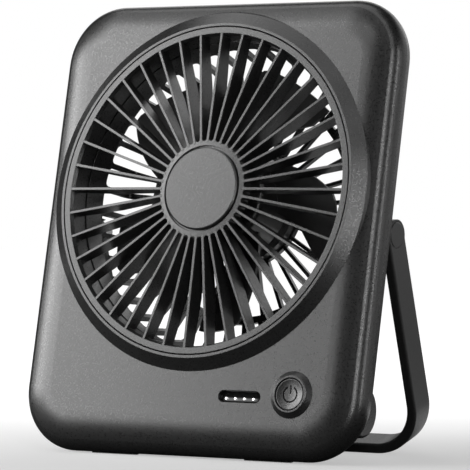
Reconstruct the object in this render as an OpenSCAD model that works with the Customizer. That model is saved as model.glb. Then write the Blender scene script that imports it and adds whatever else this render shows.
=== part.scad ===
// Portable camping fan with a fold-out U stand.
// A rounded slab body carries a round fan behind a forty-spoke grille. Two cells lie end to end in the
// tube low at the back, below the drum-shaped rear cage. The stand turns on two pivots at the drum's sides.
//
// Standing pose: floor at z = 0, front towards -y, width along x. The body leans back a little and the
// stand is opened until its rubber pad meets the floor.
// The housing is drawn lying on its back: x is width, y is height above the fan axis, z is depth from the
// rearmost face.

/* [Body] */
// side edge of the body beyond the foot of the ring
side_margin = 7.1; // [6:0.1:9]
// top edge of the body above the foot of the ring
top_margin = 6.2; // [5.5:0.1:9]
// height of the control panel below the foot of the ring
panel_h = 34.2; // [33.5:0.1:38]
// lean of the body backwards, degrees
lean = 12.5; // [9:0.5:15]
// radius of the outline corners
corner_r = 26; // [22:0.5:30]
// width of the rounding across the front
nose_w = 16; // [14:0.5:18]
// depth of the front rounding
nose_front = 9; // [8.6:0.1:9.2]
// radius of the front rounding where it meets the side
nose_side_r = 7; // [6:0.1:8]
// radius of the rear edge rounding
nose_rear = 9.5; // [9.2:0.1:9.7]
// thickness of the housing walls
wall = 2.2; // [1.8:0.1:2.4]

/* [Fan] */
// radius of the grille that fills the ring
grille_r = 69.7; // [69.3:0.1:72]
// number of front spokes
spokes = 40; // [36:2:42]
// width of a front spoke
spoke_w = 1.1; // [0.9:0.05:1.3]
// gap between the impeller tips and the duct
tip_gap = 9.1; // [5:0.1:10]
// number of impeller blades
blades = 5; // [3:1:5]
// number of rear side bars
rear_bars = 40; // [36:4:40]
// width of a rear side bar
rear_bar_w = 2.25; // [1.8:0.05:2.6]

/* [Power] */
// radius of a cell
cell_r = 9.2; // [9:0.05:9.3]
// length of a cell
cell_l = 65; // [64.5:0.1:65.5]

/* [Controls] */
// distance of the power button in from the side of the body
button_in = 31; // [29.5:0.5:33.5]
// radius of the power button
button_r = 6.55; // [6.3:0.05:6.6]
// travel of the power button
button_travel = 0.5; // [0.3:0.05:0.6]

/* [Stand] */
// thickness of the stand strap
strap_t = 4.4; // [4:0.1:4.6]
// width of the stand strap
strap_w = 13; // [12:0.5:13.5]
// angle of the opened stand from the vertical
stand_open = 17; // [13:0.5:20]
// outer radius of the two bends
bend_r = 22; // [20:0.5:28]

/* [Hidden] */
$fn = 96;

// depths, measured forward from the rearmost face
ring_z = 40;
ring_rise = 3.5;
face_z = ring_z - ring_rise;
back_z = 17.8;
seam_gap = 0.3;
seam_z = face_z - nose_front - 0.1;
cage_t = 2.6;

// ring, duct and drum
grille_gap = 0.55;
bore_r = grille_r + grille_gap;
ring_top_r = grille_r + 1.7;
ring_foot_r = grille_r + 6.7;
boss_r = 21.3;
cap_edge_r = boss_r - 3.7;
duct_r = grille_r - 3.9;
duct_t = 2.2;
duct_out = duct_r + duct_t;
duct_z = 29.5;
drum_round = 6;
drum_wall = 2.4;
drum_back_r = duct_r - 5.8;
cage_ring_out = drum_back_r - 9.5;
cage_ring_in = cage_ring_out - 3;
cage_hub_r = 25.5;
mount_r = cage_hub_r - 0.9;
inner_bars = 32;
inner_bar_w = 1.5;
slot_round = 1.8;
slot_top_z = back_z - 0.4;
slot_w = duct_out * 2 * tan(180 / rear_bars) - rear_bar_w - 0.35;
tip_r = duct_r - tip_gap;

// outline
body_over = ring_foot_r + top_margin;
below = ring_foot_r + panel_h;
body_h = body_over + below;
half_w = ring_foot_r + side_margin;
body_w = 2 * half_w;
mid_y = body_over - body_h / 2;
nose_in = corner_r - nose_w;
nose_run = nose_w - nose_side_r;
nose_big_r = (nose_run * nose_run + nose_front * nose_front - nose_side_r * nose_side_r)
  / (2 * (nose_front - nose_side_r));

// tube over the cells
tube_wall = 1.5;
cell_fit = 0.3;
tube_in = cell_r + cell_fit;
tube_r = tube_in + tube_wall;
tube_y = -below + 24.1;
tube_z = tube_r;
tube_round = 1.2;
cell_gap = 0.9;
cell_end = cell_gap + cell_l;
contact_room = 6.2;
tube_half = cell_end + contact_room;
cradle_h = cell_r - 2.8;

// motor
hub_r = 23.5;
hub_wall = 1.7;
hub_face = 2.5;
hub_z0 = 10;
hub_z1 = 30.8;
bell_z0 = hub_z0 + 0.6;
bell_z1 = 23.6;
bell_t = 1.2;
magnet_r = hub_r - 3.05;
shaft_r = 1.5;
shaft_z0 = 3.4;
blade_turn = 38.3;
blade_curve = 174;
blade_s = -59.6;
blade_z = blade_curve + 0.9;
blade_t = 1.6;
blade_drawn_r = 56.7;
shaft_fit = 0.03;
bearing_r = 5;
bearing_w = 4;
screw_circle = 15.5;

// controls
button_x = half_w - button_in;
button_y = -below + 26.1;
button_fit = 0.3;
bezel_rise = 2;
bezel_foot_r = button_r + 3.25;
bezel_rim_r = button_r + 1.15;
button_top = face_z + bezel_rise - 0.35;
dish_r = 23;
dish_depth = 0.8;
window_x = button_x - 24.9;
window_y = button_y - 1.6;
window_w = 20.5;
window_h = 5;
window_deep = 1.8;
light_sunk = 0.55;
light_pitch = 4.4;
light_r = 0.5;
light_drop = 0.8;
board_x = button_x - 14.5;
board_y = button_y + 0.1;
board_z = 24.4;
board_t = 1.6;
board_w = 64;
board_h = 21;
boss_x = board_w / 2 - 2.5;
boss_drop = 7.6;

// charge board and the posts that carry it, measured from its centre
charge_x = -half_w + 15;
charge_y = -below + 42.6;
charge_z = 21.4;
charge_w = 18;
charge_h = 22;
charge_posts = [[-6, 8], [-6, -8], [6, 8]];

// screws that close the housing: x and height
shell_points = [[half_w - 22.5, body_over - 20.6], [-half_w + 22.5, body_over - 20.6],
  [half_w - 14, -below + 58.6], [-half_w + 14, -below + 58.6]];

// stand
pivot_y = -12.5;
pivot_z = 9;
arm_gap = 0.35;
lug_r = 5.6;
lug_x = duct_out + 3.9;
lug_in = drum_back_r + 1;
washer_t = 0.6;
arm_in = lug_x + 0.05 + washer_t + arm_gap;
arm_out = arm_in + strap_t;
pin_r = 2.5;
pin_in = lug_x - 5.4;
pin_fit = 0.05;
cap_r = 5.4;
cap_deep = 2.4;
pad_w = 10;
pad_half = pad_w / 2;
pad_l = 60;
pad_out = 0.4;
foot_x = 38;
foot_l = 22;
foot_out = 0.4;

// places in the standing pose, before the floor is found
function world_y(y, z) = y * sin(lean) - z * cos(lean);
function world_z(y, z) = y * cos(lean) + z * sin(lean);
nose_z = seam_z - seam_gap;
rear_nose_y = -below + nose_rear;
front_nose_y = -below + nose_front;
floor_z = world_z(rear_nose_y, nose_z) - nose_rear - foot_out;
pivot_h = world_z(pivot_y, pivot_z) - floor_z;
stand_reach = (pivot_h - pad_half * sin(stand_open)) / cos(stand_open) - pad_out;
reach_back = world_y(pivot_y, pivot_z) + stand_reach * sin(stand_open) + strap_w / 2 * cos(stand_open);
reach_front = world_y(front_nose_y, seam_z + 0.1) - nose_front;
centre_y = (reach_back + reach_front) / 2;

// ---------- frames ----------

module lying() {
  translate([0, -centre_y, -floor_z]) rotate([90 - lean, 0, 0]) children();
}

module at_pivot() {
  lying() translate([0, pivot_y, pivot_z]) rotate([lean - 90, 0, 0]) rotate([stand_open, 0, 0]) children();
}

module both_sides() {
  children();
  mirror([1, 0, 0]) children();
}

module spin(n, start = 0) {
  for (k = [0 : n - 1]) rotate([0, 0, start + k * 360 / n]) children();
}

// ---------- shared shapes ----------

// flat run that ends in a quarter round and a short straight lip
module nose(r, run, lip) {
  square([run, r + lip]);
  translate([run, 0]) square([r, r + lip]);
}

module nose_cut(r, run) {
  translate([run, 0]) difference() {
    translate([0, -1]) square([r + 1, r + 1]);
    translate([0, r]) circle(r);
  }
}

module rounded_profile(r, run, lip) {
  difference() {
    nose(r, run, lip);
    nose_cut(r, run);
  }
}

// sweeps a profile round a rounded rectangle whose profile origin runs on the corner centres
module around(w, h, r) {
  for (sx = [0, 1], sy = [0, 1]) mirror([sx, 0, 0]) mirror([0, sy, 0])
    translate([w / 2 - r, h / 2 - r, 0]) rotate_extrude(angle = 90) children();
  for (sx = [0, 1]) mirror([sx, 0, 0]) translate([w / 2 - r, h / 2 - r, 0])
    rotate([90, 0, 0]) linear_extrude(h - 2 * r) children();
  for (sy = [0, 1]) mirror([0, sy, 0]) translate([-(w / 2 - r), h / 2 - r, 0])
    rotate([90, 0, 90]) linear_extrude(w - 2 * r) children();
}

module plate_2d(w, h, r) {
  square([w - 2 * r, h], center = true);
  square([w, h - 2 * r], center = true);
  for (sx = [-1, 1], sy = [-1, 1]) translate([sx * (w / 2 - r), sy * (h / 2 - r)]) circle(r);
}

module sector_prism(r0, r1, half_gap, n, z0, z1) {
  a = 180 / n;
  translate([0, 0, z0]) linear_extrude(z1 - z0)
    polygon([[r0, half_gap - r0 * tan(a)], [r1, half_gap - r1 * tan(a)],
      [r1, r1 * tan(a) - half_gap], [r0, r0 * tan(a) - half_gap]]);
}

// ---------- front ----------

module front_shell() {
  color([0.62, 0.62, 0.6]) lying() {
    difference() {
      union() {
        translate([0, mid_y, face_z]) mirror([0, 0, 1]) around(body_w, body_h, corner_r) front_wall_2d();
        translate([0, mid_y, face_z - wall]) linear_extrude(wall)
          square([body_w - 2 * corner_r, body_h - 2 * corner_r], center = true);
        rotate_extrude() polygon([[bore_r - 8, face_z - wall], [bore_r - 8, ring_z], [ring_top_r, ring_z],
          [ring_foot_r + 0.3, face_z - 0.2], [ring_foot_r + 1.3, face_z - 2.5],
          [ring_foot_r, face_z - 3.1]]);
        rotate_extrude() polygon([[bore_r - 8, face_z - 5], [bore_r - 8, face_z - 1],
          [bore_r + 2.2, face_z - 1], [bore_r + 2.2, face_z - 5]]);
        translate([button_x, button_y, 0]) bezel();
      }
      translate([0, 0, face_z - 6]) cylinder(r = bore_r, h = 12);
      translate([button_x, button_y, face_z - 3]) cylinder(r = button_r + button_fit, h = 8);
      translate([window_x, window_y, face_z - 3]) linear_extrude(5)
        plate_2d(window_w, window_h, window_h / 2 - 0.01);
    }
    for (p = shell_points) translate([p[0], p[1], 0]) difference() {
      translate([0, 0, back_z + 5]) cylinder(r = 3.6, h = face_z - wall - back_z - 4.9);
      translate([0, 0, back_z + 4]) cylinder(r = 1.52, h = 10);
    }
    for (sx = [-1, 1]) translate([board_x + sx * boss_x, board_y - boss_drop, board_z + board_t + 0.05])
      difference() {
        cylinder(r = 2.4, h = face_z - wall - board_z - board_t);
        translate([0, 0, -1]) cylinder(r = 0.9, h = 7);
      }
  }
}

// raised collar round the power button
module bezel() {
  rotate_extrude() polygon([[0, face_z - 1], [bezel_foot_r, face_z - 1], [bezel_foot_r, face_z],
    [bezel_rim_r + 0.2, face_z + bezel_rise - 0.25], [bezel_rim_r - 0.15, face_z + bezel_rise],
    [0, face_z + bezel_rise]]);
}

// a broad arc that eases the flat front into a tighter one at the side wall
module front_nose_2d(inset, lip) {
  side_x = corner_r - nose_side_r;
  intersection() {
    translate([0, inset]) square([corner_r - inset, nose_front + lip - inset]);
    union() {
      square([nose_in, nose_front + lip]);
      intersection() {
        translate([nose_in, nose_big_r]) circle(nose_big_r - inset);
        polygon([[nose_in - 1, -1], [side_x + nose_run, 2 * nose_front - nose_big_r],
          [side_x, nose_front], [side_x, nose_front + lip], [nose_in - 1, nose_front + lip]]);
      }
      translate([side_x, nose_front]) circle(nose_side_r - inset);
      translate([0, nose_front]) square([corner_r - inset, lip]);
    }
  }
}

module front_wall_2d() {
  difference() {
    front_nose_2d(0, 0.1);
    front_nose_2d(wall, 2);
  }
}

module front_grille() {
  color([0.5, 0.5, 0.48]) lying() {
    difference() {
      union() {
        rotate_extrude() polygon([[grille_r - 2.6, ring_z], [grille_r, ring_z], [grille_r, face_z - 1.4],
          [grille_r - 1.7, face_z - 1.4], [grille_r - 1.7, duct_z + 0.3], [grille_r - 3.5, duct_z + 0.3],
          [grille_r - 3.5, ring_z - 1.6]]);
        translate([0, 0, ring_z - 4.4]) cylinder(r = boss_r, h = 4);
        rotate_extrude() polygon([[0, ring_z - 1], [boss_r - 0.1, ring_z - 1], [boss_r - 0.1, ring_z + 0.9],
          [boss_r - 2.9, ring_z + 1.1], [boss_r - 2.9, ring_z + 0.3], [0, ring_z + 0.3]]);
        spin(spokes) rotate([90, 0, 0]) translate([0, 0, -spoke_w / 2]) linear_extrude(spoke_w)
          polygon([[boss_r - 1.3, ring_z + 1.05], [grille_r - 2.1, ring_z - 0.05], [grille_r - 2.1, 33.8],
            [45, 31.9], [26, 34], [boss_r - 1.3, ring_z - 4.4]]);
      }
      spin(spokes, 180 / spokes) translate([boss_r + 0.3, 0, 30]) cylinder(r = 1.12, h = 20);
      translate([0, 0, 30]) cylinder(r = boss_r - 4.3, h = ring_z - 31);
    }
  }
}

module hub_cap() {
  color([0.55, 0.55, 0.53]) lying() rotate_extrude() polygon([[0, ring_z + 0.35], [cap_edge_r, ring_z + 0.35],
    [cap_edge_r, ring_z + 1.4], [cap_edge_r - 0.6, ring_z + 1.9], [0, ring_z + 1.9]]);
}

// ---------- controls ----------

module power_button() {
  color([0.2, 0.2, 0.2]) lying() translate([button_x, button_y, 0]) {
    difference() {
      union() {
        rotate_extrude() hub_2d(button_r, 33.9, button_top, 0.4);
        translate([0, 0, 33]) cylinder(r = button_r + 1.3, h = 1);
        translate([0, 0, 30.4]) cylinder(r = 2.2, h = 3);
      }
      translate([0, 0, button_top - dish_depth + dish_r]) sphere(r = dish_r);
      translate([0, 0, button_top - dish_depth - 0.3]) linear_extrude(3) power_mark_2d();
    }
  }
}

// standard power sign: an open ring and an upright bar
module power_mark_2d() {
  difference() {
    circle(3.45);
    circle(2.85);
    translate([-1.5, 0]) square([3, 4]);
  }
  translate([-0.3, 0.3]) square([0.6, 3.3]);
}

module switch_plunger() {
  color([0.15, 0.15, 0.15]) lying() translate([button_x, button_y, 28.2]) {
    cylinder(r = 1.7, h = 2.15);
    translate([0, 0, -0.2]) cylinder(r = 2.4, h = 0.5);
  }
}

module push_switch() {
  color([0.3, 0.3, 0.32]) lying() translate([button_x, button_y, board_z + board_t + 0.02]) difference() {
    translate([-3.2, -3.2, 0]) cube([6.4, 6.4, 3.4]);
    translate([0, 0, 1]) cylinder(r = 2.75, h = 1.75);
    translate([0, 0, 1]) cylinder(r = 2.05, h = 4);
  }
}

module led_window() {
  color([0.3, 0.3, 0.3]) lying() translate([window_x, window_y, 0]) {
    difference() {
      union() {
        translate([0, 0, 33.5]) linear_extrude(face_z - window_deep - 33.5)
          plate_2d(window_w - 0.2, window_h - 0.2, window_h / 2 - 0.11);
        translate([0, 0, 33]) linear_extrude(1.2) plate_2d(window_w + 3, window_h + 3, 2);
      }
      for (k = [-1.5 : 1.5]) translate([k * light_pitch, -light_drop, 32])
        cylinder(r = light_r + 0.06, h = 6);
    }
  }
}

module charge_lights() {
  color([0.8, 0.8, 0.75]) lying() translate([window_x, window_y - light_drop, board_z + board_t + 0.02]) {
    for (k = [-1.5 : 1.5]) translate([k * light_pitch, 0, 0]) {
      translate([-1.4, -1.4, 0]) cube([2.8, 2.8, 1.4]);
      cylinder(r = light_r, h = face_z - light_sunk - board_z - board_t);
    }
  }
}

module control_board() {
  color([0.1, 0.35, 0.2]) lying() translate([board_x, board_y, board_z]) difference() {
    linear_extrude(board_t) plate_2d(board_w, board_h, 2);
    for (sx = [-1, 1]) translate([sx * boss_x, -boss_drop, -1]) cylinder(r = 1.2, h = 4);
  }
}

// ---------- impeller and motor ----------

// one blade, swept forward at its leading edge: a strip of a wide tube trimmed to the blade outline
module blade() {
  intersection() {
    translate([0, blade_s, blade_z]) rotate([0, 90, 0]) difference() {
      cylinder(r = blade_curve, h = 70);
      translate([0, 0, -1]) cylinder(r = blade_curve - blade_t, h = 72);
    }
    translate([0, 0, 5]) linear_extrude(30) scale(tip_r / blade_drawn_r) blade_2d();
  }
}

module blade_2d() {
  difference() {
    intersection() {
      circle(blade_drawn_r);
      translate([38, -12.5]) circle(45);
      translate([30, 9]) circle(27.7);
      polygon([[20.5, 8], [26, 9], [31, 10], [37, 9.3], [42, 7], [47, 4.8], [54.5, 5], [60, 6], [60, 40],
        [8, 40], [8, 20.5]]);
    }
    circle((hub_r - 1) * blade_drawn_r / tip_r);
  }
}

module impeller() {
  color([0.12, 0.12, 0.12]) lying() {
    difference() {
      rotate_extrude() hub_2d(hub_r, hub_z0, hub_z1, 2.5);
      translate([0, 0, hub_z0 - 1]) cylinder(r = hub_r - hub_wall, h = hub_z1 - hub_face - hub_z0 + 1);
    }
    difference() {
      translate([0, 0, 24]) cylinder(r = 4, h = hub_z1 - 25);
      translate([0, 0, 20]) cylinder(r = shaft_r + 0.02, h = 9.5);
    }
    spin(blades, blade_turn) blade();
  }
}

module hub_2d(r, z0, z1, round) {
  difference() {
    translate([0, z0]) square([r, z1 - z0]);
    translate([r - round, z1 - round]) difference() {
      square([round + 1, round + 1]);
      circle(round);
    }
  }
}

module rotor_bell() {
  color([0.6, 0.6, 0.62]) lying() difference() {
    rotate_extrude() hub_2d(hub_r - hub_wall - 0.05, bell_z0, bell_z1, 1.5);
    translate([0, 0, hub_z0]) cylinder(r = magnet_r + 0.05, h = bell_z1 - bell_t - hub_z0);
    translate([0, 0, hub_z0]) cylinder(r = shaft_r + 0.02, h = 20);
  }
}

module rotor_magnets() {
  color([0.25, 0.25, 0.27]) lying() difference() {
    translate([0, 0, hub_z0 + 1.4]) cylinder(r = magnet_r, h = 9.6);
    translate([0, 0, hub_z0]) cylinder(r = hub_r - 5.2, h = 14);
  }
}

module motor_shaft() {
  color([0.75, 0.75, 0.77]) lying() difference() {
    translate([0, 0, shaft_z0]) cylinder(r = shaft_r, h = hub_z1 - hub_face - 0.1 - shaft_z0);
    translate([0, 0, shaft_z0 + 1]) difference() {
      cylinder(r = 3, h = 0.5);
      translate([0, 0, -1]) cylinder(r = 1.15, h = 3);
    }
  }
}

module shaft_clip() {
  color([0.5, 0.5, 0.52]) lying() translate([0, 0, shaft_z0 + 1.05]) difference() {
    cylinder(r = 3, h = 0.4);
    translate([0, 0, -1]) cylinder(r = 1.18, h = 3);
    translate([0, -0.9, -1]) cube([4, 1.8, 3]);
  }
}

module motor_bearings() {
  color([0.7, 0.7, 0.72]) lying() for (z = [5.2, 16.6]) translate([0, 0, z]) difference() {
    cylinder(r = bearing_r - 0.02, h = bearing_w);
    translate([0, 0, -1]) cylinder(r = shaft_r + shaft_fit, h = bearing_w + 2);
    for (s = [-0.01, bearing_w - 0.24]) translate([0, 0, s]) difference() {
      cylinder(r = 4.1, h = 0.25);
      translate([0, 0, -1]) cylinder(r = 2.4, h = 3);
    }
  }
}

module stator_core() {
  color([0.45, 0.45, 0.47]) lying() translate([0, 0, 12.4]) difference() {
    union() {
      cylinder(r = 9.8, h = 6.4);
      spin(9) translate([8, -1.7, 0]) cube([8, 3.4, 6.4]);
      difference() {
        cylinder(r = hub_r - 5.8, h = 6.4);
        translate([0, 0, -1]) cylinder(r = 15.6, h = 9);
        spin(9, 20) translate([14, -0.8, -1]) cube([6, 1.6, 9]);
      }
    }
    translate([0, 0, -1]) cylinder(r = 6.6, h = 9);
  }
}

module stator_coils() {
  color([0.7, 0.35, 0.15]) lying() translate([0, 0, 15.6]) spin(9) difference() {
    translate([10.3, -2.7, -4.2]) cube([4.9, 5.4, 8.4]);
    translate([9, -1.75, -3.25]) cube([8, 3.5, 6.5]);
  }
}

module motor_mount() {
  color([0.5, 0.5, 0.5]) lying() difference() {
    union() {
      rotate_extrude() polygon([[0, cage_t + 0.02], [mount_r, cage_t + 0.02], [mount_r, 6.4],
        [mount_r - 3.2, 6.4], [mount_r - 3.2, 8.4], [0, 8.4]]);
      translate([0, 0, 8]) cylinder(r = 6.5, h = 12.9);
      translate([0, 0, 8]) cylinder(r = 8.6, h = 4.2);
    }
    translate([0, 0, 2]) cylinder(r = bearing_r, h = 7.3);
    translate([0, 0, 16.5]) cylinder(r = bearing_r, h = 6);
    translate([0, 0, 2]) cylinder(r = 3.4, h = 20);
    spin(3, 30) translate([screw_circle, 0, 0]) cylinder(r = 1.3, h = 7.6);
  }
}

module motor_screws() {
  color([0.7, 0.7, 0.7]) lying() spin(3, 30) translate([screw_circle, 0, 0.1]) difference() {
    union() {
      cylinder(r = 2.4, h = 1.2);
      cylinder(r = 1.25, h = 7);
    }
    translate([-1.5, -0.3, -1]) cube([3, 0.6, 1.7]);
    translate([-0.3, -1.5, -1]) cube([0.6, 3, 1.7]);
  }
}

// ---------- rear ----------

module rear_wall_2d() {
  run = corner_r - nose_rear;
  difference() {
    rounded_profile(nose_rear, run, 0);
    translate([-1, wall]) rounded_profile(nose_rear - wall, run + 1, 1);
  }
}

module drum_2d(inset) {
  r = drum_round - inset;
  difference() {
    polygon([[0, inset], [drum_back_r + r, inset], [drum_back_r + r, drum_round],
      [duct_out + 0.3 - inset, back_z + 0.4], [0, back_z + 0.4]]);
    translate([drum_back_r, drum_round]) difference() {
      translate([0, -r - 1]) square([r + 1, r + 1]);
      circle(r);
    }
  }
}

// tube over the cells, open towards the front
module cell_tube(inset, top) {
  r = tube_r - inset;
  half = tube_half - inset;
  e = tube_round;
  translate([0, tube_y, tube_z]) {
    rotate([0, 90, 0]) translate([0, 0, -half + e]) cylinder(r = r, h = 2 * (half - e));
    both_sides() translate([half - e, 0, 0]) rotate([0, 90, 0]) rotate_extrude() hub_2d(r, 0, e, e);
    linear_extrude(top - tube_z) plate_2d(2 * half, 2 * r, e);
  }
}

module side_slots() {
  spin(rear_bars) intersection() {
    sector_prism(cage_ring_out, duct_out + 4, rear_bar_w / 2, rear_bars, -1, slot_top_z);
    translate([40, 0, 0]) rotate([90, 0, 90]) linear_extrude(34) translate([0, slot_top_z / 2 - 2])
      plate_2d(slot_w, slot_top_z + 4, slot_round);
  }
}

module inner_slots() {
  spin(inner_bars, 3.6 + 180 / inner_bars)
    sector_prism(cage_hub_r, cage_ring_in, inner_bar_w / 2, inner_bars, -1, cage_t + 1);
}

module rear_shell() {
  color([0.58, 0.58, 0.56]) lying() {
    difference() {
      union() {
        translate([0, mid_y, back_z]) around(body_w, body_h, corner_r) rear_wall_2d();
        translate([0, mid_y, back_z]) linear_extrude(wall)
          square([body_w - 2 * corner_r, body_h - 2 * corner_r], center = true);
        rotate_extrude() drum_2d(0);
        translate([0, 0, back_z]) cylinder(r = duct_out, h = duct_z - back_z);
        both_sides() pivot_lug();
        cell_tube(0, back_z + 0.5);
      }
      rotate_extrude() drum_2d(drum_wall);
      translate([0, 0, back_z]) cylinder(r = duct_r, h = 20);
      cell_tube(tube_wall, back_z + wall + 4);
      side_slots();
      inner_slots();
      both_sides() translate([pin_in - 0.2, pivot_y, pivot_z]) rotate([0, 90, 0])
        cylinder(r = pin_r + 0.02, h = 20);
      spin(3, 30) translate([screw_circle, 0, -1]) cylinder(r = 1.4, h = 8);
      spin(3, 30) translate([screw_circle, 0, -1]) cylinder(r = 2.6, h = 2.4);
      for (p = shell_points) translate([p[0], p[1], back_z - 1]) {
        cylinder(r = 1.7, h = 9);
        cylinder(r = 3.1, h = 2.9);
      }
      translate([-half_w - 1, charge_y - 6, back_z + 4.4]) cube([9, 12, 6.2]);
      foot_pockets();
    }
    for (p = shell_points) translate([p[0], p[1], back_z + 1.9]) difference() {
      cylinder(r = 4.6, h = 2.9);
      translate([0, 0, -1]) cylinder(r = 1.7, h = 9);
    }
    for (p = charge_posts) translate([charge_x + p[0], charge_y + p[1], back_z + 1]) difference() {
      cylinder(r = 2.2, h = charge_z - back_z - 1.05);
      translate([0, 0, 1.5]) cylinder(r = 0.9, h = 7);
    }
  }
}

module pivot_lug() {
  translate([lug_in, pivot_y, pivot_z]) rotate([0, 90, 0]) cylinder(r = lug_r, h = lug_x - lug_in);
  translate([lug_in, pivot_y - lug_r, pivot_z]) cube([lug_x - lug_in, 2 * lug_r, back_z - pivot_z + 1]);
}

module foot_pockets() {
  for (sx = [-1, 1]) translate([sx * foot_x - foot_l / 2, rear_nose_y, nose_z]) rotate([0, 90, 0])
    linear_extrude(foot_l) foot_cut_2d(nose_rear - 1, nose_rear + 2, 0);
}

// band of the rear rounding from just behind its lowest line round towards the back
module foot_cut_2d(r0, r1, gap) {
  difference() {
    circle(r1);
    circle(r0);
    translate([-20, -2.6 - gap]) square([40, 30]);
    translate([-40, -20]) square([40.5 + gap, 40]);
  }
}

module rubber_feet() {
  color([0.1, 0.1, 0.1]) lying() for (sx = [-1, 1])
    translate([sx * foot_x - foot_l / 2 + 0.1, rear_nose_y, nose_z]) rotate([0, 90, 0])
      linear_extrude(foot_l - 0.2) foot_cut_2d(nose_rear - 0.95, nose_rear + foot_out, 0.1);
}

module shell_screws() {
  color([0.6, 0.6, 0.62]) lying() for (p = shell_points) translate([p[0], p[1], back_z]) difference() {
    union() {
      cylinder(r = 2.8, h = 1.8);
      cylinder(r = 1.48, h = 12.5);
    }
    translate([-1.9, -0.35, -1]) cube([3.8, 0.7, 1.9]);
    translate([-0.35, -1.9, -1]) cube([0.7, 3.8, 1.9]);
  }
}

// ---------- power ----------

module battery_cells() {
  color([0.2, 0.35, 0.5]) lying() both_sides() translate([cell_gap, tube_y, tube_z]) rotate([0, 90, 0]) {
    rotate_extrude() polygon([[0, 0], [cell_r, 0], [cell_r, cell_l - 2.2], [cell_r - 0.4, cell_l - 1.8],
      [cell_r - 0.4, cell_l - 1], [3, cell_l - 1], [3, cell_l], [0, cell_l]]);
  }
}

// saddle that closes the tube from the front and keeps the cells down
module battery_cradle() {
  w = tube_in - 0.15;
  color([0.25, 0.25, 0.25]) lying() translate([0, tube_y, 0]) difference() {
    union() {
      translate([-58, -w, tube_z + 4]) cube([116, 2 * w, cradle_h]);
      translate([-58, -w - 2.6, back_z + wall + 0.05]) cube([116, 2 * w + 5.2, 1.1]);
    }
    translate([-59, 0, tube_z]) rotate([0, 90, 0]) cylinder(r = cell_r + 0.05, h = 118);
  }
}

module battery_contacts() {
  color([0.75, 0.75, 0.7]) lying() translate([0, tube_y, tube_z]) {
    both_sides() {
      translate([tube_half - tube_wall - 0.35, -5, -5]) cube([0.3, 10, 12]);
      translate([cell_end + 0.05, 0, 0]) rotate([0, 90, 0]) difference() {
        cylinder(r = 3.6, h = tube_half - tube_wall - 0.3 - cell_end);
        translate([0, 0, -1]) cylinder(r = 3.1, h = 10);
      }
    }
    translate([-cell_gap + 0.1, -6, -3]) cube([2 * cell_gap - 0.2, 12, 10]);
  }
}

module charge_board() {
  color([0.1, 0.3, 0.35]) lying() translate([charge_x, charge_y, charge_z]) difference() {
    linear_extrude(board_t) plate_2d(charge_w, charge_h, 1.5);
    for (p = charge_posts) translate([p[0], p[1], -1]) cylinder(r = 1.1, h = 4);
  }
}

module usb_socket() {
  color([0.7, 0.7, 0.72]) lying() translate([-half_w + 2.2, charge_y, charge_z + board_t + 1.7])
    rotate([0, 90, 0]) difference() {
      linear_extrude(7.4) plate_2d(3.3, 9, 1.6);
      translate([0, 0, -1]) linear_extrude(7.8) plate_2d(2.7, 8.4, 1.3);
    }
}

// ---------- stand ----------

module strap_2d() {
  plate_2d(strap_t, strap_w, 1);
}

module stand() {
  mid_x = arm_out - strap_t / 2;
  bend_x = arm_out - bend_r;
  arm_l = stand_reach - bend_r;
  color([0.25, 0.25, 0.25]) at_pivot() difference() {
    union() {
      for (s = [0, 1]) mirror([s, 0, 0]) {
        translate([mid_x, 0, -arm_l]) linear_extrude(arm_l) strap_2d();
        translate([arm_in, 0, 0]) rotate([0, 90, 0]) cylinder(r = strap_w / 2, h = strap_t);
        translate([bend_x, 0, -arm_l]) rotate([-90, 0, 0]) rotate_extrude(angle = 90)
          translate([bend_r - strap_t / 2, 0]) strap_2d();
      }
      translate([-bend_x, 0, -stand_reach + strap_t / 2]) rotate([0, 90, 0])
        linear_extrude(2 * bend_x) strap_2d();
    }
    both_sides() {
      translate([lug_x - 12, 0, 0]) rotate([0, 90, 0]) cylinder(r = pin_r + pin_fit, h = 40);
      translate([arm_out - cap_deep, 0, 0]) rotate([0, 90, 0]) cylinder(r = cap_r + 0.1, h = 5);
    }
    translate([-pad_l / 2 - 0.1, -pad_half - 0.1, -stand_reach - 1]) cube([pad_l + 0.2, pad_w + 0.2, 1.9]);
  }
}

module stand_pad() {
  color([0.1, 0.1, 0.1]) at_pivot() translate([-pad_l / 2, -pad_half, -stand_reach - pad_out])
    cube([pad_l, pad_w, 1.2]);
}

module pivot_pins() {
  l = arm_out - cap_deep + 0.05 - pin_in;
  color([0.7, 0.7, 0.72]) lying() both_sides() translate([pin_in, pivot_y, pivot_z]) rotate([0, 90, 0]) {
    cylinder(r = pin_r, h = l);
    translate([0, 0, l]) cylinder(r = 4.4, h = 1);
  }
}

module pivot_caps() {
  color([0.22, 0.22, 0.22]) at_pivot() both_sides() translate([arm_out - 1.2, 0, 0]) rotate([0, 90, 0])
    rotate_extrude() polygon([[0, 0.1], [cap_r - 0.6, 0.1], [cap_r - 0.6, 0], [cap_r, 0], [cap_r, 1.2],
      [cap_r - 0.3, 1.45], [0, 1.45]]);
}

module friction_washers() {
  color([0.6, 0.6, 0.6]) lying() both_sides() translate([lug_x + 0.05, pivot_y, pivot_z]) rotate([0, 90, 0])
    difference() {
      cylinder(r = 5.4, h = washer_t);
      translate([0, 0, -1]) cylinder(r = pin_r + 0.05, h = 3);
    }
}

front_shell();
front_grille();
hub_cap();
power_button();
switch_plunger();
push_switch();
led_window();
charge_lights();
control_board();
impeller();
rotor_bell();
rotor_magnets();
motor_shaft();
shaft_clip();
motor_bearings();
stator_core();
stator_coils();
motor_mount();
motor_screws();
rear_shell();
shell_screws();
battery_cells();
battery_cradle();
battery_contacts();
charge_board();
usb_socket();
stand();
pivot_pins();
pivot_caps();
friction_washers();
stand_pad();
rubber_feet();
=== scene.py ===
import math

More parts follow.
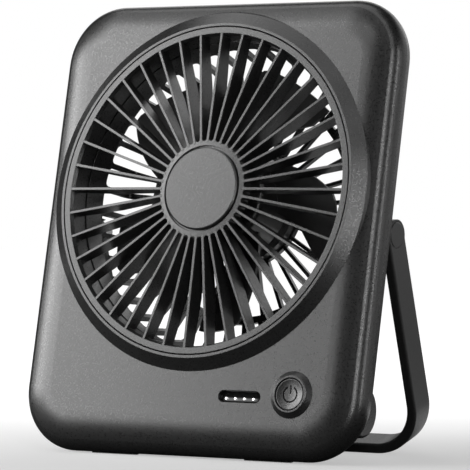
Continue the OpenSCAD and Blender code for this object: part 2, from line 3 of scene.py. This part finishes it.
import bpy
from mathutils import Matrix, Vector

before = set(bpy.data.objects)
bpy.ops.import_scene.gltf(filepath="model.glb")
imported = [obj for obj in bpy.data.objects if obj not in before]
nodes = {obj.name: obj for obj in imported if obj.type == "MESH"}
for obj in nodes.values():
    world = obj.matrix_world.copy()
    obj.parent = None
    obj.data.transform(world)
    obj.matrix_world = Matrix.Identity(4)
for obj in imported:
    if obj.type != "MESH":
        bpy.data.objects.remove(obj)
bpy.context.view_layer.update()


# ---- rear shell and motor mount ----
# The back half of the slab, with the drum-shaped cage, the tube over the cells and the two pivot lugs, is one
# ABS moulding. The motor mount is a grey moulding of its own and is held to the cage hub by three screws.
# Spark-eroded tools leave ABS with an even fine grain: it scatters light softly and has no sharp highlight.

# the flow of the melt changes the tone of a wall slowly, over about this length
drift_mm = 45
# cosine of the turn at an edge where the painted highlight starts, and where it is full
edge_highlight_from, edge_highlight_full = 0.995, 0.8


def linear(hex_colour):
    """An sRGB hex colour as linear light."""
    out = []
    for i in (0, 2, 4):
        c = int(hex_colour[i:i + 2], 16) / 255
        out.append(c / 12.92 if c <= 0.04045 else ((c + 0.055) / 1.055) ** 2.4)
    return (*out, 1)


def add(mat, kind, settings=None, links=None):
    """Adds one shader node: settings go on its own fields or sockets, links come in from other nodes."""
    n = mat.node_tree.nodes.new(kind)
    for key, value in (settings or {}).items():
        if isinstance(key, str) and hasattr(n, key):
            setattr(n, key, value)
        else:
            n.inputs[key].default_value = value
    for key, source in (links or {}).items():
        mat.node_tree.links.new(source, n.inputs[key])
    return n


def new_material(name):
    """An empty material that is ready for its nodes."""
    mat = bpy.data.materials.new(name)
    mat.use_nodes = True
    mat.node_tree.nodes.clear()
    return mat


def dress(mat, *names):
    """Gives the named solids a finish in place of their plain one."""
    for name in names:
        for slot in nodes[name].material_slots:
            slot.material = mat


def moulded(name, dark, light, grain_mm, rough, edge_mm, ior=1.53, deep_mm=0.04, mark=None, glow=None):
    """A grained plastic moulding: two close tones through the grain, a slow drift of tone over the wall, and
    a painted highlight that makes the edges a little paler, with the edges also a little smoother. It may
    carry a mark of painted shade or a painted glow."""
    mat = new_material(name)
    place = add(mat, "ShaderNodeTexCoord")
    grain = add(mat, "ShaderNodeTexNoise", {"Scale": 1000 / grain_mm, "Detail": 3.0, "Roughness": 0.6},
                {"Vector": place.outputs["Object"]})
    drift = add(mat, "ShaderNodeTexNoise", {"Scale": 1000 / drift_mm, "Detail": 2.0},
                {"Vector": place.outputs["Object"]})
    fine = add(mat, "ShaderNodeMath", {"operation": "MULTIPLY", 1: 0.75}, {0: grain.outputs["Fac"]})
    both = add(mat, "ShaderNodeMath", {"operation": "MULTIPLY_ADD", 1: 0.25},
               {0: drift.outputs["Fac"], 2: fine.outputs["Value"]})
    tone = add(mat, "ShaderNodeValToRGB", links={"Fac": both.outputs["Value"]})
    tone.color_ramp.elements[0].position = 0.36
    tone.color_ramp.elements[0].color = linear(dark)
    tone.color_ramp.elements[1].position = 0.64
    tone.color_ramp.elements[1].color = linear(light)
    soft = add(mat, "ShaderNodeBevel", {"samples": 4, "Radius": edge_mm / 1000})
    shape = add(mat, "ShaderNodeNewGeometry")
    turn = add(mat, "ShaderNodeVectorMath", {"operation": "DOT_PRODUCT"},
               {0: soft.outputs["Normal"], 1: shape.outputs["Normal"]})
    edge_highlight = add(mat, "ShaderNodeMapRange", {"From Min": edge_highlight_from, "From Max": edge_highlight_full},
               {"Value": turn.outputs["Value"]})
    # painted highlight along the edges: they are mixed towards the paler tone
    paler = add(mat, "ShaderNodeMixRGB", {"Color2": linear(light)},
                {"Fac": edge_highlight.outputs["Result"], "Color1": tone.outputs["Color"]})
    sheen = add(mat, "ShaderNodeMapRange",
                {"From Min": 0.35, "From Max": 0.65, "To Min": rough - 0.05, "To Max": rough + 0.05},
                {"Value": grain.outputs["Fac"]})
    edge_gloss = add(mat, "ShaderNodeMath", {"operation": "MULTIPLY_ADD", 1: -0.06},
                 {0: edge_highlight.outputs["Result"], 2: sheen.outputs["Result"]})
    colour, gloss = paler.outputs["Color"], edge_gloss.outputs["Value"]
    if mark:
        colour, gloss = mark(mat, place, colour, gloss)
    bump = add(mat, "ShaderNodeBump", {"Strength": 0.35, "Distance": deep_mm / 1000},
               {"Height": grain.outputs["Fac"], "Normal": soft.outputs["Normal"]})
    skin = add(mat, "ShaderNodeBsdfPrincipled", {"IOR": ior},
               {"Base Color": colour, "Roughness": gloss, "Normal": bump.outputs["Normal"]})
    if glow:
        skin.inputs["Emission Color"].default_value = linear("ffffff")
        mat.node_tree.links.new(glow(mat, place), skin.inputs["Emission Strength"])
    add(mat, "ShaderNodeOutputMaterial", links={"Surface": skin.outputs["BSDF"]})
    return mat


# the grain is drawn 0.7 mm wide on the shells, coarser than the real 0.2 mm, so that it shows
shell_abs = moulded("abs_charcoal_spark_grain", "141414", "1e1e1e", 0.7, 0.31, 0.25, deep_mm=0.065)
dress(shell_abs, "rear_shell")
# a paler and slightly duller grey than the shells
mount_abs = moulded("abs_grey_fine_grain", "3c3c3c", "4a4a4a", 0.6, 0.36, 0.25)
dress(mount_abs, "motor_mount")


# ---- stator and windings ----
# The stator is a stack of 0.35 mm electrical steel sheets with nine teeth. Enamelled copper wire is wound in
# layers round each tooth and held with varnish, which makes it look wet; the grooves between the turns are
# darkened with painted shade.

wave_bands = 6.283  # a wave texture of scale 1 has about this many dark and bright bands in a metre
# one dark and one bright band of about this width stand for a 0.35 mm sheet, and for a turn of 0.35 mm wire:
# both are drawn about four times as thick as they are, so that they show
sheet_mm = 0.7
turn_mm = 0.6

stack = new_material("electrical_steel_stacked")
stack_place = add(stack, "ShaderNodeTexCoord")
sheets = add(stack, "ShaderNodeTexWave", {"bands_direction": "Z", "Scale": 1000 / sheet_mm / wave_bands,
                                          "Distortion": 0.4}, {"Vector": stack_place.outputs["Object"]})
stack_tone = add(stack, "ShaderNodeValToRGB", links={"Fac": sheets.outputs["Fac"]})
stack_tone.color_ramp.elements[0].color = linear("4a4a4b")
stack_tone.color_ramp.elements[1].color = linear("7f7f80")
stack_bump = add(stack, "ShaderNodeBump", {"Strength": 0.4, "Distance": 0.00008},
                 {"Height": sheets.outputs["Fac"]})
stack_skin = add(stack, "ShaderNodeBsdfPrincipled", {"Metallic": 1.0, "Roughness": 0.42},
                 {"Base Color": stack_tone.outputs["Color"], "Normal": stack_bump.outputs["Normal"]})
add(stack, "ShaderNodeOutputMaterial", links={"Surface": stack_skin.outputs["BSDF"]})
dress(stack, "stator_core")

wire = new_material("enamelled_copper_wound")
wire_place = add(wire, "ShaderNodeTexCoord")
turns = add(wire, "ShaderNodeTexWave",
            {"bands_direction": "DIAGONAL", "Scale": 1000 / turn_mm / wave_bands, "Distortion": 0.8},
            {"Vector": wire_place.outputs["Object"]})
# on the wire the dark part of each band is painted shade in the groove between two turns
wire_tone = add(wire, "ShaderNodeValToRGB", links={"Fac": turns.outputs["Fac"]})
wire_tone.color_ramp.elements[0].color = linear("5a2c14")
wire_tone.color_ramp.elements[1].color = linear("b4693a")
wire_bump = add(wire, "ShaderNodeBump", {"Strength": 0.7, "Distance": 0.0002},
                {"Height": turns.outputs["Fac"]})
wire_skin = add(wire, "ShaderNodeBsdfPrincipled",
                {"Metallic": 0.85, "Roughness": 0.3, "Coat Weight": 0.6, "Coat Roughness": 0.15},
                {"Base Color": wire_tone.outputs["Color"], "Normal": wire_bump.outputs["Normal"]})
add(wire, "ShaderNodeOutputMaterial", links={"Surface": wire_skin.outputs["BSDF"]})
dress(wire, "stator_coils")


# ---- shaft, bearings, rotor bell and magnets ----
# The 3 mm shaft is ground steel and runs in two shielded ball bearings; a sprung clip keeps it in. The bell
# is deep-drawn zinc-plated steel with a ring of pressed ferrite magnets glued inside.

def drawn_metal(name, dark, light, line_mm, rough, edge_mm):
    """Drawn, ground or plated metal: fine lines from the tool that also vary its tone and gloss, and softly
    rounded edges.
    """
    mat = new_material(name)
    place = add(mat, "ShaderNodeTexCoord")
    stretch = add(mat, "ShaderNodeMapping", {"Scale": (0.25, 1.0, 1.0)}, {"Vector": place.outputs["Object"]})
    lines = add(mat, "ShaderNodeTexNoise", {"Scale": 1000 / line_mm, "Detail": 2.0},
                {"Vector": stretch.outputs["Vector"]})
    tone = add(mat, "ShaderNodeValToRGB", links={"Fac": lines.outputs["Fac"]})
    tone.color_ramp.elements[0].position = 0.3
    tone.color_ramp.elements[0].color = linear(dark)
    tone.color_ramp.elements[1].position = 0.7
    tone.color_ramp.elements[1].color = linear(light)
    sheen = add(mat, "ShaderNodeMapRange", {"To Min": rough - 0.08, "To Max": rough + 0.08},
                {"Value": lines.outputs["Fac"]})
    soft = add(mat, "ShaderNodeBevel", {"samples": 4, "Radius": edge_mm / 1000})
    bump = add(mat, "ShaderNodeBump", {"Strength": 0.2, "Distance": 0.00002},
               {"Height": lines.outputs["Fac"], "Normal": soft.outputs["Normal"]})
    skin = add(mat, "ShaderNodeBsdfPrincipled", {"Metallic": 1.0},
               {"Base Color": tone.outputs["Color"], "Roughness": sheen.outputs["Result"],
                "Normal": bump.outputs["Normal"]})
    add(mat, "ShaderNodeOutputMaterial", links={"Surface": skin.outputs["BSDF"]})
    return mat


# bright, with very fine lines from grinding
ground_steel = drawn_metal("steel_ground_bright", "8b8b8c", "c4c4c4", 0.4, 0.24, 0.1)
dress(ground_steel, "motor_shaft", "shaft_clip", "motor_bearings", "friction_washers", "pivot_pins")
# greyer and softer, from the zinc over the drawing lines
bell_steel = drawn_metal("steel_zinc_plated_drawn", "77787a", "a9aaab", 0.8, 0.36, 0.15)
dress(bell_steel, "rotor_bell")
# pressed powder: dark, matt and even
ferrite = moulded("ferrite_pressed", "1c1c1e", "2c2c2e", 0.5, 0.62, 0.1, ior=2.0)
dress(ferrite, "rotor_magnets")


# ---- impeller ----
# Five swept blades and the cup over the motor are one moulding in black ABS. The grain of the tool is much
# shallower than the shell's, so the blades are satin and pick up a soft sheen along their curve.

impeller_abs = moulded("abs_black_satin", "202020", "2a2a2a", 0.9, 0.34, 0.3, deep_mm=0.025)
dress(impeller_abs, "impeller")


# ---- cells, cradle and contacts ----
# Two 18650 cells in shrink film lie end to end. A black polypropylene saddle keeps them in the tube, and
# nickel-plated spring steel carries the current at both ends and between them.

# stretched film has a slow ripple and a clear gloss
film = moulded("pet_shrink_film", "2a4f86", "33609c", 3.0, 0.26, 0.3, ior=1.57, deep_mm=0.05)
dress(film, "battery_cells")
# polypropylene looks waxy, with a low wide sheen
black_pp = moulded("polypropylene_black", "141414", "1d1d1d", 0.7, 0.5, 0.2, ior=1.49)
dress(black_pp, "battery_cradle")
# nickel is bright and slightly warm
nickel = drawn_metal("spring_steel_nickel_plated", "8a8880", "c2bfb4", 0.5, 0.25, 0.1)
dress(nickel, "battery_contacts")


# ---- charge board, control board, switch and socket ----
# Both boards are glass-epoxy laminate under green solder mask, with copper tracks that show as paler lines.
# The push switch and its plunger are black nylon, the socket is a folded steel shell.

track_mm = 8  # the tracks divide the board into fields about half as wide as this

# solder mask is a half-gloss lacquer, and the copper under it makes it paler
laminate = new_material("glass_epoxy_solder_mask")
laminate_place = add(laminate, "ShaderNodeTexCoord")
tracks = add(laminate, "ShaderNodeTexBrick",
             {"Scale": 1000 / track_mm, "Mortar Size": 0.06, "Mortar Smooth": 0.3,
              "Color1": linear("1d4a33"), "Color2": linear("1a4430"), "Mortar": linear("3a7a55")},
             {"Vector": laminate_place.outputs["Object"]})
laminate_bump = add(laminate, "ShaderNodeBump", {"Strength": 0.3, "Distance": 0.00003},
                    {"Height": tracks.outputs["Fac"]})
laminate_skin = add(laminate, "ShaderNodeBsdfPrincipled", {"IOR": 1.55, "Roughness": 0.28},
                    {"Base Color": tracks.outputs["Color"], "Normal": laminate_bump.outputs["Normal"]})
add(laminate, "ShaderNodeOutputMaterial", links={"Surface": laminate_skin.outputs["BSDF"]})
dress(laminate, "charge_board", "control_board")
# nylon is duller than the shells
switch_nylon = moulded("nylon_black", "171717", "202020", 0.6, 0.45, 0.1)
dress(switch_nylon, "push_switch", "switch_plunger")
# tinned steel, bright with fine rolling lines
socket_steel = drawn_metal("steel_tinned_folded", "8f8f90", "bdbdbd", 0.5, 0.28, 0.1)
dress(socket_steel, "usb_socket")


# ---- front shell, grille and hub cap ----
# The front half of the slab, its raised ring, the ribbed grille that snaps into it and the cap over the
# grille's hub are moulded from the same charcoal ABS as the back, so that the colours agree.

dress(shell_abs, "front_shell")
# the same plastic from a finer tool, so the spokes catch a slightly clearer line of light
grille_abs = moulded("abs_charcoal_fine_grain", "1a1a1a", "232323", 0.6, 0.31, 0.35, deep_mm=0.045)
dress(grille_abs, "front_grille", "hub_cap")


# ---- power button, charge lights and their window ----
# The button cap is ABS from a tool with a finer, shallower grain, so that it feels smooth and looks satin.
# The window is smoked polycarbonate, and the four light pipes in it are clear acrylic lit from the board.

face_out = (0, -0.976, 0.216)                  # straight out of the leaning face
face_up = (0, 0.216, 0.976)                    # up along it
dish_centre = (0.0525, -0.059507, 0.033303)    # the dish of the cap is a part of a ball round this point
dish_r = 0.02304
painted_shade_full = 0.00006                             # the painted shade is fully black from this depth under the dish
row_centre = (0.0276, -0.035018, 0.025262)     # middle of the row of light pipes
row_half = 0.0065                              # half its length
spill, spill_ends = 0.0009, 0.0023             # how far the painted glow spreads across the row, and past its ends
cloud_mm = 0.8                                 # width of the faint clouds in the acrylic


def power_sign_painted_shade(mat, place, colour, gloss):
    """Painted shade, dull and black, in the sunk power sign and on the walls of the gap round the cap: every
    point that lies deeper than the dish.
    """
    ball = add(mat, "ShaderNodeVectorMath", {"operation": "DISTANCE", 1: dish_centre},
               {0: place.outputs["Object"]})
    sunk = add(mat, "ShaderNodeMapRange", {"From Min": dish_r, "From Max": dish_r + painted_shade_full},
               {"Value": ball.outputs["Value"]})
    shaded = add(mat, "ShaderNodeMixRGB", {"Color2": linear("060606")},
                {"Fac": sunk.outputs["Result"], "Color1": colour})
    dull = add(mat, "ShaderNodeMapRange", {"To Max": 0.95},
               {"Value": sunk.outputs["Result"], "To Min": gloss})
    return shaded.outputs["Color"], dull.outputs["Result"]


def pipe_painted_glow(mat, place):
    """Painted light in the window beside the pipes: a faint glowing band as long as their row."""
    away = add(mat, "ShaderNodeVectorMath", {"operation": "SUBTRACT", 1: row_centre},
               {0: place.outputs["Object"]})
    up = add(mat, "ShaderNodeVectorMath", {"operation": "DOT_PRODUCT", 1: face_up},
             {0: away.outputs["Vector"]})
    off = add(mat, "ShaderNodeMath", {"operation": "ABSOLUTE"}, {0: up.outputs["Value"]})
    band = add(mat, "ShaderNodeMapRange",
               {"From Min": spill / 3, "From Max": spill, "To Min": 0.15, "To Max": 0.0},
               {"Value": off.outputs["Value"]})
    axes = add(mat, "ShaderNodeSeparateXYZ", links={"Vector": away.outputs["Vector"]})
    side = add(mat, "ShaderNodeMath", {"operation": "ABSOLUTE"}, {0: axes.outputs["X"]})
    ends = add(mat, "ShaderNodeMapRange",
               {"From Min": row_half, "From Max": row_half + spill_ends, "To Min": 1.0, "To Max": 0.0},
               {"Value": side.outputs["Value"]})
    level = add(mat, "ShaderNodeMath", {"operation": "MULTIPLY"},
                {0: band.outputs["Result"], 1: ends.outputs["Result"]})
    return level.outputs["Value"]


# the cap carries painted shade in its sunk power sign and round its edge
button_abs = moulded("abs_dark_satin", "181818", "222222", 0.6, 0.3, 0.25, mark=power_sign_painted_shade)
dress(button_abs, "power_button")
# polished and nearly black, so it mirrors the room more than it shows its own colour
# the window glows faintly beside the pipes: painted light
window_pc = moulded("polycarbonate_smoked", "0b0b0b", "111111", 0.6, 0.04, 0.15, ior=1.585, glow=pipe_painted_glow)
dress(window_pc, "led_window")

# clear acrylic, a little cloudy where it is lit
lens = new_material("acrylic_light_pipe_lit")
lens_place = add(lens, "ShaderNodeTexCoord")
cloud = add(lens, "ShaderNodeTexNoise", {"Scale": 1000 / cloud_mm}, {"Vector": lens_place.outputs["Object"]})
lens_tone = add(lens, "ShaderNodeValToRGB", links={"Fac": cloud.outputs["Fac"]})
lens_tone.color_ramp.elements[0].color = linear("e4e4e4")
lens_tone.color_ramp.elements[1].color = linear("ffffff")
lens_shape = add(lens, "ShaderNodeNewGeometry")
# the light leaves by the flat tip, and the side of the pipe only glows
lens_tip = add(lens, "ShaderNodeVectorMath", {"operation": "DOT_PRODUCT", 1: face_out},
               {0: lens_shape.outputs["Normal"]})
lens_power = add(lens, "ShaderNodeMapRange",
                 {"From Min": 0.5, "From Max": 0.95, "To Min": 0.05, "To Max": 2.2},
                 {"Value": lens_tip.outputs["Value"]})
lens_skin = add(lens, "ShaderNodeBsdfPrincipled", {"IOR": 1.49, "Roughness": 0.2},
                {"Base Color": lens_tone.outputs["Color"], "Emission Color": lens_tone.outputs["Color"],
                 "Emission Strength": lens_power.outputs["Result"]})
add(lens, "ShaderNodeOutputMaterial", links={"Surface": lens_skin.outputs["BSDF"]})
dress(lens, "charge_lights")


# ---- screws ----
# Cross-recess screws in zinc-plated steel: three hold the motor mount, four close the housing from behind.
# The plating is a half-bright grey, polished a little by the driver.

screw_zinc = drawn_metal("steel_zinc_plated_screw", "6f7072", "a2a3a5", 0.3, 0.32, 0.1)
dress(screw_zinc, "motor_screws", "shell_screws")


# ---- stand, caps, pad and feet ----
# The stand is a bent strap of glass-filled nylon, duller than the shell and slightly mottled by the fibres.
# The two caps over its pins are the same nylon, and the pad and feet are moulded rubber, matt and dusty.

stand_nylon = moulded("nylon_glass_filled", "161616", "202020", 0.8, 0.42, 0.4)
dress(stand_nylon, "stand", "pivot_caps")
rubber = moulded("rubber_moulded", "0e0e0e", "171717", 0.7, 0.78, 0.3, ior=1.52)
dress(rubber, "stand_pad", "rubber_feet")


# ---- studio paper ----
# A big sheet of matt paper lies on the table. It is lit through from below, more strongly further away, so
# that it turns plain white at a distance and keeps the soft shadow under the object. A strip of it just
# behind the object glows only for glossy rays: a painted reflection on the surfaces that mirror it.

half_sheet = 4
turned = math.radians(32.6)          # the sheet lies square to the camera
near_light = 0.42                    # light through the paper in front of the object, where white is 1
rise_from, rise_to = -0.1, 0.42      # it grows to white between these depths
ring_from, ring_to = 0.35, 0.85      # and between these distances to all sides
straight_back = (0.539, 0.842, 0)    # back from the face of the object, in the sheet's own axes
mirror_at = 0.1                      # surfaces that mirror the sheet show a painted reflection: a strip this far back that glows only for glossy rays
mirror_full, mirror_end = 0.03, 0.055  # fully lit this far to either side of it, and dark from there on
fibre_mm = 1.5                       # the lumps of the pulp, coarser than its fibres so that they show

floor_mesh = bpy.data.meshes.new("studio_floor")
floor_mesh.from_pydata([(-half_sheet, -half_sheet, 0), (half_sheet, -half_sheet, 0),
                        (half_sheet, half_sheet, 0), (-half_sheet, half_sheet, 0)], [], [(0, 1, 2, 3)])
floor = bpy.data.objects.new("studio_floor", floor_mesh)
floor.rotation_euler = (0, 0, turned)
bpy.context.collection.objects.link(floor)

paper = new_material("paper_matt_studio")
paper_place = add(paper, "ShaderNodeTexCoord")
fibre = add(paper, "ShaderNodeTexNoise", {"Scale": 1000 / fibre_mm},
            {"Vector": paper_place.outputs["Object"]})
paper_bump = add(paper, "ShaderNodeBump", {"Strength": 0.05, "Distance": 0.00005},
                 {"Height": fibre.outputs["Fac"]})
paper_ray = add(paper, "ShaderNodeLightPath")
# the paper throws little light back at the object, so the undersides stay dark
paper_tone = add(paper, "ShaderNodeMixRGB", {"Color1": linear("1c1c1c"), "Color2": linear("7c7c7c")},
                 {"Fac": paper_ray.outputs["Is Camera Ray"]})
paper_skin = add(paper, "ShaderNodeBsdfPrincipled", {"Roughness": 0.9},
                 {"Base Color": paper_tone.outputs["Color"], "Normal": paper_bump.outputs["Normal"]})
paper_axes = add(paper, "ShaderNodeSeparateXYZ", links={"Vector": paper_place.outputs["Object"]})
paper_rise = add(paper, "ShaderNodeMapRange",
                 {"interpolation_type": "SMOOTHSTEP", "From Min": rise_from, "From Max": rise_to,
                  "To Min": near_light, "To Max": 1.0}, {"Value": paper_axes.outputs["Y"]})
paper_reach = add(paper, "ShaderNodeVectorMath", {"operation": "LENGTH"}, {0: paper_place.outputs["Object"]})
paper_far = add(paper, "ShaderNodeMapRange",
                {"interpolation_type": "SMOOTHSTEP", "From Min": ring_from, "From Max": ring_to,
                 "To Min": near_light, "To Max": 1.0}, {"Value": paper_reach.outputs["Value"]})
paper_lit = add(paper, "ShaderNodeMath", {"operation": "MAXIMUM"},
                {0: paper_rise.outputs["Result"], 1: paper_far.outputs["Result"]})
# the painted reflection is this strip, seen only by glossy rays, which runs parallel to the face of the
# object, just behind it
paper_depth = add(paper, "ShaderNodeVectorMath", {"operation": "DOT_PRODUCT", 1: straight_back},
                  {0: paper_place.outputs["Object"]})
paper_from = add(paper, "ShaderNodeMath", {"operation": "SUBTRACT", 1: mirror_at},
                 {0: paper_depth.outputs["Value"]})
paper_off = add(paper, "ShaderNodeMath", {"operation": "ABSOLUTE"}, {0: paper_from.outputs["Value"]})
paper_back = add(paper, "ShaderNodeMapRange",
                 {"From Min": mirror_full, "From Max": mirror_end, "To Min": 1.0, "To Max": 0.0},
                 {"Value": paper_off.outputs["Value"]})
paper_painted_reflection = add(paper, "ShaderNodeMath", {"operation": "MULTIPLY"},
                     {0: paper_back.outputs["Result"], 1: paper_ray.outputs["Is Glossy Ray"]})
paper_level = add(paper, "ShaderNodeMath", {"operation": "MULTIPLY_ADD"},
                  {0: paper_lit.outputs["Value"], 1: paper_ray.outputs["Is Camera Ray"],
                   2: paper_painted_reflection.outputs["Value"]})
paper_glow = add(paper, "ShaderNodeEmission", links={"Strength": paper_level.outputs["Value"]})
paper_sum = add(paper, "ShaderNodeAddShader",
                links={0: paper_skin.outputs["BSDF"], 1: paper_glow.outputs["Emission"]})
add(paper, "ShaderNodeOutputMaterial", links={"Surface": paper_sum.outputs["Shader"]})
floor_mesh.materials.append(paper)


# ---- studio air ----
# The air all round is plain white to the eye. Glossy and clear surfaces show that white only behind the
# object and to its right, and next to no light comes from it.

white_side = (0.54, 0.84, 0.0)
side_from, side_full = 0.62, 0.9     # how squarely a mirrored ray has to point to that side
fill_light = 0.004

world = bpy.data.worlds.new("studio_air")
bpy.context.scene.world = world
world.use_nodes = True
world.node_tree.nodes.clear()
world_ray = add(world, "ShaderNodeLightPath")
world_place = add(world, "ShaderNodeTexCoord")
world_side = add(world, "ShaderNodeVectorMath", {"operation": "DOT_PRODUCT", 1: white_side},
                 {0: world_place.outputs["Generated"]})
behind = add(world, "ShaderNodeMapRange", {"From Min": side_from, "From Max": side_full},
             {"Value": world_side.outputs["Value"]})
mirrored = add(world, "ShaderNodeMath", {"operation": "MAXIMUM"},
               {0: world_ray.outputs["Is Glossy Ray"], 1: world_ray.outputs["Is Transmission Ray"]})
mirrored_behind = add(world, "ShaderNodeMath", {"operation": "MULTIPLY"},
                      {0: mirrored.outputs["Value"], 1: behind.outputs["Result"]})
white = add(world, "ShaderNodeMath", {"operation": "MAXIMUM"},
            {0: world_ray.outputs["Is Camera Ray"], 1: mirrored_behind.outputs["Value"]})
fill = add(world, "ShaderNodeBackground", {"Color": (1, 1, 1, 1), "Strength": fill_light})
seen = add(world, "ShaderNodeBackground", {"Color": (1, 1, 1, 1), "Strength": 1.0})
pick = add(world, "ShaderNodeMixShader", links={0: white.outputs["Value"], 1: fill.outputs["Background"],
                                                2: seen.outputs["Background"]})
add(world, "ShaderNodeOutputWorld", links={"Surface": pick.outputs["Shader"]})


# ---- studio lamps ----
# Softboxes to the left and above give the satin plastic its broad sheen, narrow ones on the right draw the
# rounded edge, and two behind keep the back and the bar of the stand from going black.

middle = (0, 0, 0.1)


def softbox(name, at, size, watts):
    """A rectangular area lamp that looks at the middle of the object: metres and watts."""
    light = bpy.data.lights.new(name, "AREA")
    light.shape = "RECTANGLE"
    light.size, light.size_y = size
    light.energy = watts
    obj = bpy.data.objects.new(name, light)
    obj.location = at
    obj.rotation_euler = (Vector(middle) - Vector(at)).to_track_quat("-Z", "Y").to_euler()
    bpy.context.collection.objects.link(obj)


softbox("left_softbox", (-0.80, -0.62, 0.40), (0.6, 0.5), 7.2)
softbox("left_edge_strip", (-0.96, -0.34, 0.32), (0.25, 0.4), 2.4)
softbox("left_low_softbox", (-0.60, -0.90, 0.14), (0.3, 0.24), 1.15)
softbox("left_high_softbox", (-0.62, -0.72, 0.60), (0.24, 0.24), 0.75)
softbox("left_top_softbox", (-0.62, -0.60, 0.78), (0.24, 0.24), 1.7)
softbox("front_strip", (-0.38, -1.05, 0.50), (0.15, 0.5), 1.05)
softbox("front_high_softbox", (-0.20, -0.75, 0.85), (0.24, 0.24), 0.75)
softbox("top_front_softbox", (-0.55, -0.40, 0.90), (0.4, 0.4), 1.3)
softbox("top_left_softbox", (-0.54, 0.06, 1.03), (0.3, 0.3), 0.7)
softbox("top_right_softbox", (0.19, -0.39, 1.13), (0.35, 0.35), 0.8)
softbox("right_top_softbox", (0.48, -0.59, 0.93), (0.3, 0.3), 0.7)
softbox("top_softbox", (-0.20, 0.0, 1.2), (0.6, 0.5), 1.6)
softbox("right_front_strip", (0.70, -0.85, 0.35), (0.1, 0.8), 4.3)
softbox("right_strip", (1.1, -0.20, 0.30), (0.1, 0.8), 3.2)
softbox("right_rear_strip", (1.0, 0.15, 0.30), (0.1, 0.8), 0.7)
softbox("back_left_softbox", (-0.65, 0.83, 0.68), (0.5, 0.5), 1.2)
softbox("back_softbox", (-0.1, 1.30, 0.80), (1.0, 0.8), 2.5)


# ---- camera ----
# A long lens, low and to the right of the object, looking slightly down at it.

lens_mm = 264.4
film_mm = 36
camera_at = Vector((0.78602, -1.22594, 0.11671))
camera_aim = Vector((0.01119, -0.01409, 0.09222))

camera = bpy.data.objects.new("camera", bpy.data.cameras.new("camera"))
camera.data.sensor_width = film_mm
camera.data.lens = lens_mm
camera.location = camera_at
camera.rotation_euler = (camera_aim - camera_at).to_track_quat("-Z", "Y").to_euler()
bpy.context.collection.objects.link(camera)
bpy.context.scene.camera = camera

bpy.context.scene.view_settings.view_transform = "Standard"
